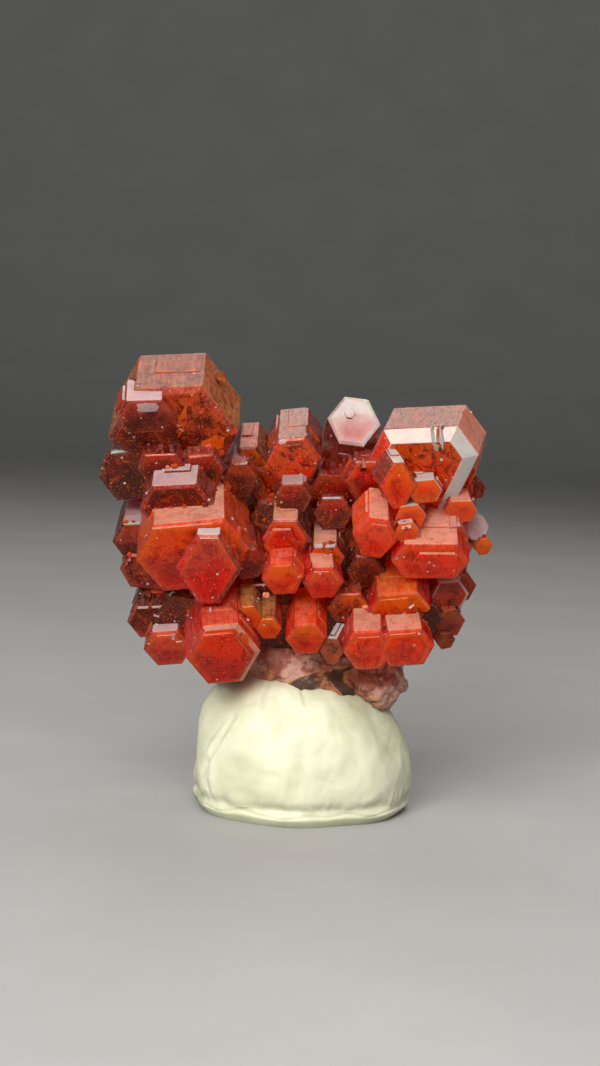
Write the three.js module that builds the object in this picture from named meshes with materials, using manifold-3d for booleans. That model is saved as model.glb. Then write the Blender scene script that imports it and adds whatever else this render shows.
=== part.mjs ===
import * as THREE from "three";
import { mergeVertices } from "three/addons/utils/BufferGeometryUtils.js";
import Module from "manifold-3d";

// Vanadinite on matrix: a cluster of hexagonal crystals grown together on a pale rock,
// held upright in a mound of mounting putty with a flat underside.
// Millimetres. X runs to the right, -Y towards the viewer, +Z up from the mound's flat base.

const wasm = await Module();
wasm.setup();

// Driving dimensions of the mound
const MOUND_HEIGHT = 11.6;
const MOUND_BASE_HALF_WIDTH = 8.4;
const MOUND_BASE_HALF_DEPTH = 7.6;
const MOUND_SIDES = 24;
const MOUND_LEAN = -0.9;
// Bulges around the mound: how many, how strong, where they start and how they wind up it
const MOUND_BULGES = [
  { count: 3, strength: 0.035, start: 1.2, wind: 2 },
  { count: 7, strength: 0.02, start: 0, wind: 4 },
];
// Reach as a share of the base's, and height, from the flat underside over the shoulder to the middle
const MOUND_PROFILE = [
  [0, 0], [0.97, 0], [1.04, 0.7], [1.0, 1.4], [1.06, 2.2], [1.05, 4.0], [1.0, 6.0], [0.92, 7.8],
  [0.8, 9.4], [0.65, 10.6], [0.4, 11.3], [0, MOUND_HEIGHT],
];

// Driving dimensions of the rock: its upper body, the foot that stands in the mound, and two knobs
const ROCK_LUMPS = [
  { middle: [-0.4, 3.2, 17.8], radii: [9.2, 4.8, 8.2], seed: 0.7, detail: 5 },
  { middle: [0.3, 0.2, 11.5], radii: [7.5, 4.9, 3.5], seed: 2.3, detail: 3 },
  { middle: [6.0, -1.6, 10.8], radii: [2.3, 3.1, 2.3], seed: 4.1, detail: 1 },
  { middle: [-6.4, -3.2, 11.9], radii: [2.0, 2.3, 1.5], seed: 5.2, detail: 1 },
];
const ROCK_RELIEF = 0.07;
// Waves of the rock's relief: strength, and turns along x, y and z over the lump's radius
const ROCK_WAVES = [
  { strength: 1.0, turns: [4.1, 0.6, 3.7] },
  { strength: 0.6, turns: [0.8, 7.3, 5.9] },
  { strength: 0.35, turns: [12.1, 8.3, -9.7] },
];

// The eye that the crystals' places are read from, level with the top of the specimen
const EYE_X = -0.75;
const EYE_Z = 35.75;
const EYE_DISTANCE = 152.5;
const READING_PLANE = -8;

const CHAMFER_SHARE = 0.13;
const CHAMFER_SLOPE = 0.62;
const SMALLEST_CHAMFERED = 1.5;
const SMALLEST_BACK_CHAMFERED = 2.3;
const SHORTEST_EDGE = 0.12;
const STEP_ROOT = 1;
const SEAT_GAP = 0.3;

const COLOURS = {
  vanadinite: { color: 0xb02a10, roughness: 0.18, metalness: 0 },
  rock: { color: 0xd2b8a8, roughness: 0.75, metalness: 0 },
  putty: { color: 0xe4e4c8, roughness: 0.7, metalness: 0 },
};

const degrees = THREE.MathUtils.degToRad;

// A place read on the plane just in front of the cluster, moved along the line of sight to its depth
function placeAtDepth(x, depth, z) {
  const spread = (EYE_DISTANCE + depth) / (EYE_DISTANCE + READING_PLANE);
  return new THREE.Vector3(EYE_X + (x - EYE_X) * spread, depth, EYE_Z + (z - EYE_Z) * spread);
}

// A hexagon whose corners are all 120 degrees, wider or taller than a regular one. The drop lowers
// its two side corners, which shortens the top edge and lengthens the bottom one.
function hexagon(halfWidth, halfHeight, drop) {
  const shortestEnd = SHORTEST_EDGE * halfWidth;
  const topEnd = Math.max(halfWidth - (halfHeight + drop) * Math.tan(degrees(30)), shortestEnd);
  const bottomEnd = Math.max(halfWidth - (halfHeight - drop) * Math.tan(degrees(30)), shortestEnd);
  const corners = [
    [halfWidth, -drop],
    [topEnd, halfHeight],
    [-topEnd, halfHeight],
    [-halfWidth, -drop],
    [-bottomEnd, -halfHeight],
    [bottomEnd, -halfHeight],
  ];
  return new THREE.Shape(corners.map(([u, v]) => new THREE.Vector2(u, v)));
}

// One prism along +Z that ends at z = 0 with a narrow pyramid rim around its flat end face
function prism([halfWidth, halfHeight, length, drop = 0], chamfer) {
  const rise = chamfer * CHAMFER_SLOPE;
  const geometry = new THREE.ExtrudeGeometry(hexagon(halfWidth, halfHeight, drop), {
    depth: length - 2 * rise,
    bevelEnabled: chamfer > 0,
    bevelSegments: 1,
    bevelSize: chamfer,
    bevelOffset: -chamfer,
    bevelThickness: rise,
  });
  return geometry.translate(0, 0, rise - length);
}

// Yaw turns the end face to the right, dip tips it down, spin rolls the crystal about its own axis
function orientation([yaw, dip, spin]) {
  return new THREE.Matrix4()
    .makeRotationZ(degrees(yaw))
    .multiply(new THREE.Matrix4().makeRotationX(degrees(90 + dip)))
    .multiply(new THREE.Matrix4().makeRotationZ(degrees(spin)));
}

function solidFrom(geometry) {
  const bare = geometry.index ? geometry.toNonIndexed() : geometry;
  bare.deleteAttribute("normal");
  bare.deleteAttribute("uv");
  const merged = mergeVertices(bare, 1e-5);
  const mesh = new wasm.Mesh({
    numProp: 3,
    vertProperties: new Float32Array(merged.attributes.position.array),
    triVerts: new Uint32Array(merged.index.array),
  });
  return new wasm.Manifold(mesh);
}

function geometryFrom(solid) {
  const mesh = solid.getMesh();
  const geometry = new THREE.BufferGeometry();
  geometry.setAttribute("position", new THREE.BufferAttribute(new Float32Array(mesh.vertProperties), 3));
  geometry.setIndex(new THREE.BufferAttribute(new Uint32Array(mesh.triVerts), 1));
  const flat = geometry.toNonIndexed();
  flat.computeVertexNormals();
  return flat;
}

// Crystals seen from the front. Each row gives the end face's middle as read on the reading plane
// [x, depth, z], its [half width, half height, length, drop], its turn [yaw, dip, spin] in degrees
// and, where it isn't the usual one, the width of its rim.
const FRONT_CRYSTALS = {
  giantLeft: [[-10.8, -5, 30.4], [5.1, 3.6, 5.4, 0.7], [1, 30, 6]],
  terraceLeft: [[-12.9, -7, 31.2], [2.2, 1.5, 3.2], [5, 30, 5]],
  darkLeft: [[-13.3, -3.6, 26.9], [3.1, 2.0, 7], [0, 10, 9]],
  redLeft: [[-11.5, -6, 27.4], [1.9, 1.2, 5], [0, 20, 5]],
  redLeftInner: [[-8.4, -5.5, 27.3], [1.8, 1.4, 5], [5, 20, 8]],
  shelfLeft: [[-10.2, -7, 24.4], [2.9, 2.1, 6], [0, 30, 7]],
  midLeft: [[-8.8, -8, 20.8], [4.4, 3.0, 7], [4, 25, 9]],
  pointLeft: [[-7.6, -9.5, 19.8], [2.5, 2.9, 5], [0, 18, 2]],
  columnLeft: [[-13.2, -3, 21.7], [1.9, 1.7, 7], [0, 20, 5]],
  footLeft: [[-12.3, -2.5, 19.4], [2.2, 1.5, 6], [-5, 20, -3]],
  plateLeft: [[-11.7, -3, 15.6], [2.1, 1.5, 6], [-5, 25, 5]],
  baseLeft: [[-10.5, -5, 13.6], [1.9, 1.6, 6], [0, 25, 8]],
  lowLeft: [[-6.2, -9, 13.3], [2.9, 2.7, 7], [6, 25, 8]],
  goldStepOuter: [[-4.3, -8, 16.3], [1.0, 1.0, 4], [5, 25, 10]],
  goldStepInner: [[-2.8, -7.8, 15.5], [1.0, 0.9, 4], [0, 25, 5]],
  amberLow: [[0.1, -8.5, 14.8], [1.6, 1.4, 5], [0, 28, 6]],
  paleLow: [[2.1, -9, 14.0], [0.9, 1.0, 4], [-10, 10, 0]],
  lowRightInner: [[4.9, -9, 14.2], [2.0, 1.7, 6], [0, 20, 6]],
  lowRightOuter: [[7.8, -9, 14.5], [2.2, 1.6, 7], [4, 20, 8]],
  amberRight: [[7.1, -7, 17.3], [2.5, 1.7, 7], [0, 25, 9]],
  orangeRight: [[9.3, -8, 21.2], [3.0, 1.7, 6], [0, 33, 3]],
  longRight: [[5.0, -8.5, 22.8], [1.75, 1.8, 4.4], [0, 28, -6]],
  centreTall: [[-1.8, -7, 22.4], [1.9, 1.7, 6], [0, 20, 4]],
  amberCentre: [[-1.9, -8.5, 19.4], [1.65, 1.45, 5], [0, 25, 8]],
  roundCentre: [[1.2, -8, 19.2], [1.6, 1.4, 5], [5, 25, 4]],
  smallCentre: [[1.3, -6.5, 21.1], [1.5, 1.1, 5], [0, 20, 6]],
  darkCentre: [[1.7, -4.5, 24.6], [1.6, 1.3, 6], [0, 5, 4]],
  topMiddle: [[-1.45, -4, 28.4], [2.2, 1.95, 6.4], [0, 20, 8]],
  topMiddleFoot: [[-1.4, -6, 25.6], [1.5, 1.2, 5], [0, 12, 5]],
  whiteFace: [[2.95, -3, 31.7], [2.15, 2.05, 6], [3, -25, -5]],
  deepRedMiddle: [[4.1, -5, 27.2], [1.8, 1.6, 6], [0, 15, 4]],
  giantRight: [[8.5, -6, 27.7], [4.3, 3.85, 5.2, -1.4], [-12, 20, 6], 1.0],
  giantRightCrown: [[9.2, -3.0, 28.7], [3.5, 3.4, 3.6], [-12, 18, 13], 0],
  spireRight: [[6.6, -8.5, 26.9], [1.5, 1.9, 5], [10, 15, 5]],
  ledgeRightUpper: [[8.6, -8, 26.6], [1.3, 0.9, 4], [0, 12, 8]],
  ledgeRightMiddle: [[7.6, -8, 24.6], [1.2, 0.9, 4], [0, 10, 10]],
  ledgeRightLower: [[7.4, -8.5, 23.4], [1.0, 0.8, 4], [5, 15, 12]],
  salmonRight: [[11.4, -6, 25.2], [1.3, 0.9, 5], [5, 20, 4]],
  lilacRight: [[12.7, -4, 24.0], [1.0, 0.95, 5], [8, 5, 6]],
  mauveStepRight: [[11.2, -7, 23.1], [1.0, 1.0, 4], [5, 15, 10]],
  amberEdgeRight: [[13.3, -4, 22.6], [0.75, 0.7, 5], [15, 15, 8]],
  darkEdgeRight: [[12.5, -3, 26.9], [0.8, 0.7, 5], [10, 10, 12]],
  mauveRight: [[10.9, -4, 18.7], [1.6, 1.3, 6], [10, 15, 8]],
  tanRightUpper: [[12.0, -3, 19.4], [1.0, 1.2, 6], [15, 20, 12]],
  tanRightLower: [[11.1, -4, 16.6], [1.2, 1.2, 5], [15, 20, 12]],
  tanRightFoot: [[10.8, -4, 15.2], [0.8, 0.7, 4], [15, 20, 12]],
  ringRight: [[9.3, -7, 16.9], [1.1, 1.0, 6], [0, 5, 0]],
  stepBack: [[-4.8, -1.5, 28.1], [1.5, 1.4, 4.4], [0, 25, 8]],
  stepFront: [[-5.5, -4, 26.8], [1.35, 1.4, 6], [0, 15, 7]],
  recessUpperLeft: [[-3.6, -4, 24.0], [1.0, 1.1, 6], [0, 10, 6]],
  recessLeft: [[-4.6, -7, 20.4], [1.5, 1.3, 5], [5, 20, 8]],
  recessLow: [[-3.0, -5, 17.7], [2.0, 1.4, 6], [0, 15, 5]],
  recessRight: [[4.4, -5, 20.2], [1.6, 1.4, 6], [-5, 20, 0]],
  recessRightLow: [[3.2, -6, 17.4], [1.7, 1.2, 6], [0, 15, 5]],
};

// Crystals in the hollows between the front ones, packed like the cells of a honeycomb
const RECESS_LEFT = -9.3;
const RECESS_COLUMNS = 6;
const RECESS_COLUMN_PITCH = 3.7;
const RECESS_BOTTOM = 15.4;
const RECESS_ROWS = 3;
const RECESS_ROW_PITCH = 4.0;
const RECESS_SIZE = [2.7, 2.3, 6.5];
const RECESS_DEPTH = -2.8;
const RECESS_LOW = 18.5;
const RECESS_LOW_LEAN = 0.55;
const RECESS_DEPTH_SPREAD = 0.4;
const RECESS_TURN = [0, 12, 0];
const RECESS_TURN_SPREAD = [10, 8, 8];

// Crystals on the sides and the back: end face's middle [x, y, z], size and turn as above
const BACK_CRYSTALS = {
  backTopLeft: [[-10.4, 4.0, 28.6], [3.4, 2.9, 6.5], [170, -15, 5]],
  backTopStep: [[-5.2, 3.6, 26.8], [2.4, 2.2, 5.5], [188, -18, -8]],
  backTopMiddle: [[-1.7, 3.4, 27.6], [2.1, 1.9, 5.2], [172, -12, 10]],
  backTopWhite: [[4.9, 3.2, 28.4], [2.1, 1.9, 5.2], [190, -15, 0]],
  backTopRight: [[9.6, 3.8, 27.0], [3.5, 2.9, 6.5], [168, -8, -6]],
  backLeftUpper: [[-13.0, 3.2, 23.8], [2.6, 2.2, 9], [215, -5, 8]],
  backLeftMiddle: [[-12.8, 2.6, 19.0], [2.2, 2.0, 8], [235, 0, -10]],
  backLeftLower: [[-11.2, 2.2, 14.8], [2.0, 1.9, 7], [222, 12, 4]],
  backRightUpper: [[12.2, 2.6, 22.9], [2.2, 2.0, 8], [140, -5, -4]],
  backRightMiddle: [[11.6, 2.2, 18.6], [1.9, 1.8, 7], [130, 2, 9]],
  backRightLower: [[9.4, 1.8, 14.8], [1.8, 1.7, 6], [142, 12, 0]],
  sideLeftUpper: [[-14.8, -0.8, 26.6], [2.0, 1.9, 6], [-84, -4, 6]],
  sideLeftMiddle: [[-13.9, -0.2, 21.4], [1.8, 1.7, 6], [-95, 4, -8]],
  sideLeftLower: [[-12.4, -0.4, 16.6], [1.7, 1.6, 6], [-88, 10, 5]],
  sideRightUpper: [[13.0, -1.2, 26.8], [2.2, 2.0, 6], [82, -6, -5]],
  sideRightMiddle: [[12.6, -0.8, 20.9], [1.6, 1.5, 6], [96, 2, 7]],
  sideRightLower: [[10.6, -1.0, 16.2], [1.6, 1.5, 6], [88, 10, -4]],
};

// Small crystals scattered over the bare back of the rock
const ROCK_CRYSTALS = {
  rockHighLeft: [[-5.6, 6.6, 24.2], [1.6, 1.4, 5], [196, -24, 10]],
  rockHighMiddle: [[-1.6, 7.7, 23.6], [1.0, 1.0, 4], [176, -20, -5]],
  rockHighRight: [[2.6, 7.6, 23.9], [1.4, 1.2, 5], [168, -22, 4]],
  rockUpperLeft: [[-3.4, 9.0, 20.6], [1.3, 1.2, 4], [186, -8, 14]],
  rockUpperMiddle: [[0.3, 8.6, 21.2], [0.7, 0.7, 4], [181, -6, -6]],
  rockUpperRight: [[5.3, 8.0, 20.4], [1.8, 1.5, 5], [160, -6, 6]],
  rockMiddleLeft: [[-6.6, 7.3, 18.4], [1.0, 0.9, 4], [202, 0, -8]],
  rockMiddle: [[-0.9, 8.8, 17.6], [1.6, 1.4, 4], [180, 4, 8]],
  rockMiddleRight: [[3.4, 8.2, 17.0], [0.8, 0.7, 4], [172, 6, 3]],
  rockLowLeft: [[-3.6, 7.7, 14.4], [1.2, 1.1, 4], [190, 14, 8]],
  rockLowRight: [[2.2, 7.8, 13.6], [1.0, 0.9, 4], [172, 18, -4]],
  rockSideRight: [[7.2, 5.9, 16.2], [1.1, 1.0, 4], [146, 6, 9]],
};

// Raised steps on end faces: shift across the face, share of the crystal's own width, rise
const GROWTH_STEPS = {
  centreTall: { shift: [-0.3, -0.25], share: 0.74, rise: 0.4 },
  whiteFace: { shift: [-0.4, 0.55], share: 0.2, rise: 0.2 },
  lowLeft: { shift: [-0.25, -0.1], share: 0.82, rise: 0.25 },
  orangeRight: { shift: [0.5, -0.1], share: 0.66, rise: 0.3 },
};

// A repeatable number from -1 to 1 for each crystal and purpose
const JITTER_STEPS = [12.9898, 78.233];
const JITTER_SCALE = 43758.5453;

function jitter(index, purpose) {
  const wave = Math.sin(index * JITTER_STEPS[0] + purpose * JITTER_STEPS[1]) * JITTER_SCALE;
  return 2 * (wave - Math.floor(wave)) - 1;
}

function usualChamfer([halfWidth, halfHeight]) {
  return halfWidth < SMALLEST_CHAMFERED ? 0 : CHAMFER_SHARE * Math.min(halfWidth, halfHeight);
}

function crystalSolid([middle, size, turn, chamfer = usualChamfer(size)]) {
  const geometry = prism(size, chamfer);
  geometry.applyMatrix4(orientation(turn));
  geometry.translate(middle.x, middle.y, middle.z);
  return solidFrom(geometry);
}

function growthStep([middle, [halfWidth, halfHeight, , drop = 0], turn], { shift, share, rise }) {
  const offset = new THREE.Vector3(shift[0], shift[1], rise).applyMatrix4(orientation(turn));
  const size = [share * halfWidth, share * halfHeight, STEP_ROOT + rise, share * drop];
  return crystalSolid([middle.clone().add(offset), size, turn, 0]);
}

function recessRows() {
  const rows = [];
  for (let column = 0; column < RECESS_COLUMNS; column += 1) {
    for (let row = 0; row < RECESS_ROWS; row += 1) {
      const index = rows.length;
      const x = RECESS_LEFT + column * RECESS_COLUMN_PITCH;
      const z = RECESS_BOTTOM + (row + (column % 2) / 2) * RECESS_ROW_PITCH;
      const forward = RECESS_LOW_LEAN * Math.max(RECESS_LOW - z, 0);
      const depth = RECESS_DEPTH - forward + RECESS_DEPTH_SPREAD * jitter(index, 1);
      const turn = RECESS_TURN.map((angle, axis) =>
        angle + RECESS_TURN_SPREAD[axis] * jitter(index, 3 + axis));
      rows.push([[x, depth, z], RECESS_SIZE, turn, 0]);
    }
  }
  return rows;
}

function joined(solids) {
  return solids.reduce((whole, next) => whole.add(next));
}

function frontRow([at, ...rest]) {
  return [placeAtDepth(...at), ...rest];
}

function crystalCluster() {
  const front = [...Object.values(FRONT_CRYSTALS), ...recessRows()].map((row) => crystalSolid(frontRow(row)));
  const steps = Object.entries(GROWTH_STEPS).map(([name, step]) =>
    growthStep(frontRow(FRONT_CRYSTALS[name]), step));
  const back = Object.values(BACK_CRYSTALS).map(([at, size, turn]) => {
    const chamfer = size[0] < SMALLEST_BACK_CHAMFERED ? 0 : usualChamfer(size);
    return crystalSolid([new THREE.Vector3(...at), size, turn, chamfer]);
  });
  return joined([...front, ...steps, ...back]);
}

function rockRelief(point, seed) {
  const waves = ROCK_WAVES.map(({ strength, turns }, index) => {
    const phase = turns[0] * point.x + turns[1] * point.y + turns[2] * point.z + (index + 1) * seed;
    return strength * Math.sin(phase);
  });
  return waves.reduce((sum, wave) => sum + wave);
}

// A lumpy ball with flat-faced relief, pushed out by the margin given
function lump({ middle, radii, seed, detail }, margin) {
  const geometry = new THREE.IcosahedronGeometry(1, detail);
  const place = geometry.attributes.position;
  const point = new THREE.Vector3();
  for (let i = 0; i < place.count; i += 1) {
    point.fromBufferAttribute(place, i).normalize();
    const swell = 1 + ROCK_RELIEF * rockRelief(point, seed);
    point.set(
      point.x * (radii[0] * swell + margin),
      point.y * (radii[1] * swell + margin),
      point.z * (radii[2] * swell + margin),
    );
    place.setXYZ(i, point.x, point.y, point.z);
  }
  return solidFrom(geometry.translate(...middle));
}

function rockBody(margin) {
  return joined(ROCK_LUMPS.map((shape) => lump(shape, margin)));
}

// The mound's height and reach around its axis, with soft bulges and a pressed rim
function puttyMound() {
  const profile = MOUND_PROFILE.map(([reach, height]) => new THREE.Vector2(reach, height));
  const geometry = new THREE.LatheGeometry(profile, MOUND_SIDES);
  geometry.rotateX(Math.PI / 2);
  const place = geometry.attributes.position;
  for (let i = 0; i < place.count; i += 1) {
    const [x, y, z] = [place.getX(i), place.getY(i), place.getZ(i)];
    const around = Math.atan2(y, x);
    const lift = z / MOUND_HEIGHT;
    const bulge = MOUND_BULGES.reduce((sum, { count, strength, start, wind }) =>
      sum + strength * Math.sin(count * around + start + wind * lift), 1);
    const shift = MOUND_LEAN * lift * lift;
    place.setXYZ(i, x * MOUND_BASE_HALF_WIDTH * bulge + shift, y * MOUND_BASE_HALF_DEPTH * bulge, z);
  }
  return solidFrom(geometry);
}

function named(name, solid, look) {
  const mesh = new THREE.Mesh(geometryFrom(solid), new THREE.MeshStandardMaterial(look));
  mesh.name = name;
  return mesh;
}

const rockWithSmallCrystals = joined([
  rockBody(0),
  ...Object.values(ROCK_CRYSTALS).map(([at, size, turn]) =>
    crystalSolid([new THREE.Vector3(...at), size, turn])),
]);
const cluster = crystalCluster().subtract(rockBody(SEAT_GAP));
const mound = puttyMound().subtract(rockBody(SEAT_GAP));

const specimen = new THREE.Group();
specimen.add(named("vanadinite_crystals", cluster, COLOURS.vanadinite));
specimen.add(named("matrix_rock", rockWithSmallCrystals, COLOURS.rock));
specimen.add(named("mounting_putty", mound, COLOURS.putty));

export default specimen;
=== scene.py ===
"""Looks of a vanadinite specimen: crystals grown together on a pale rock in a mound of putty."""

import math
import random

import bmesh
import bpy
from mathutils import Matrix, Vector, noise


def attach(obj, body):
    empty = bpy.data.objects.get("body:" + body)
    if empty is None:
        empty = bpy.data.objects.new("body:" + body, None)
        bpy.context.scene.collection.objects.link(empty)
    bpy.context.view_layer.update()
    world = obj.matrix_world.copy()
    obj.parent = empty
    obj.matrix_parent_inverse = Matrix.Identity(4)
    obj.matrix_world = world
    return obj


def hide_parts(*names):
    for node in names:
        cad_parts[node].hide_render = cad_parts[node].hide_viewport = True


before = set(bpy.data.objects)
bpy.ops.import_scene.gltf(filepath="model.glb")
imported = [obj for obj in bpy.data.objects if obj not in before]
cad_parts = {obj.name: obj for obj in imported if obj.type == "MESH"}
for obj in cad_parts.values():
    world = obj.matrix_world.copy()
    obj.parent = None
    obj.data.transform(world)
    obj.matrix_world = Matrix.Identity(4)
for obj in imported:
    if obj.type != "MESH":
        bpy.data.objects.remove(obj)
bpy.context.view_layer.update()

# Sizes and places below are in millimetres, and MM turns them into metres
MM = 0.001

# The eye that the crystals' places are read from, level with the top of the specimen, and the upright
# plane that they are read on. Pitch and roll are in degrees
EYE = Vector((-0.75, -152.5, 35.75))
READING_PLANE = -8.0
CAMERA_PITCH = -5.05
CAMERA_ROLL = 2.7
CAMERA_LENS = 64.27
CAMERA_SENSOR = 36
CAMERA_NEAREST = 10

# Narrow pyramid faces around an end face, and the worn edges between all faces
RIM_SHARE = 0.13
RIM_SLOPE = 0.62
SMALLEST_RIMMED = 1.5
SHORTEST_EDGE = 0.12
WORN_EDGE = 0.04

# A crystal has six sides, which face outward every 60 degrees from 30
SIDES = 6
SIDE_PITCH = 60
FIRST_SIDE = 30
SIN_30 = 0.5
COS_30 = math.cos(math.radians(30))
TAN_30 = math.tan(math.radians(30))

# Kinds of face, and how the normal in the crystal's own frame tells them apart
END_KIND = 0.0
SIDE_KIND = 1.0
EDGE_KIND = 2.0
KIND_SLACK = 0.2
END_FACING = 0.98
RIM_FACING = 0.5
RIM_NORMAL_Z = 1 / math.hypot(1, RIM_SLOPE)
# A side that faces up this much in the crystal's frame gets the top tint, which is painted light from above
LIT_TOP_FACING = 0.8
TILT_SLACK = 0.02
TURN_SLACK = 2
# Painted light on rims: a rim gets its own tint, a painted highlight, where it faces up or right by this
# much, unless it faces this far left, and elsewhere the end face's lower tint, as painted shade
LIT_RIM_FACING = 0.1
SHADED_RIM_FACING = -0.3

# Body colours of the crystals, as display values from 0 to 1
TINTS = {
    "black": (0.16, 0.01, 0.01),
    "maroon": (0.36, 0.02, 0.01),
    "ruby": (0.64, 0.05, 0.02),
    "scarlet": (0.93, 0.09, 0.02),
    "red": (0.92, 0.20, 0.07),
    "flame": (1.0, 0.23, 0.01),
    "orange": (1.0, 0.33, 0.04),
    "amber": (1.0, 0.42, 0.03),
    "salmon": (0.98, 0.34, 0.20),
    "rose": (0.82, 0.27, 0.20),
    "mauve": (0.66, 0.24, 0.19),
    "brown": (0.88, 0.35, 0.10),
    "tan": (0.59, 0.31, 0.17),
    "lilac": (0.84, 0.76, 0.77),
    "rust": (0.80, 0.26, 0.06),
    "gold": (0.84, 0.54, 0.25),
    "pink": (1.0, 0.68, 0.57),
    "white": (0.90, 0.94, 0.92),
}
TINT_COUNT = 5
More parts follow.
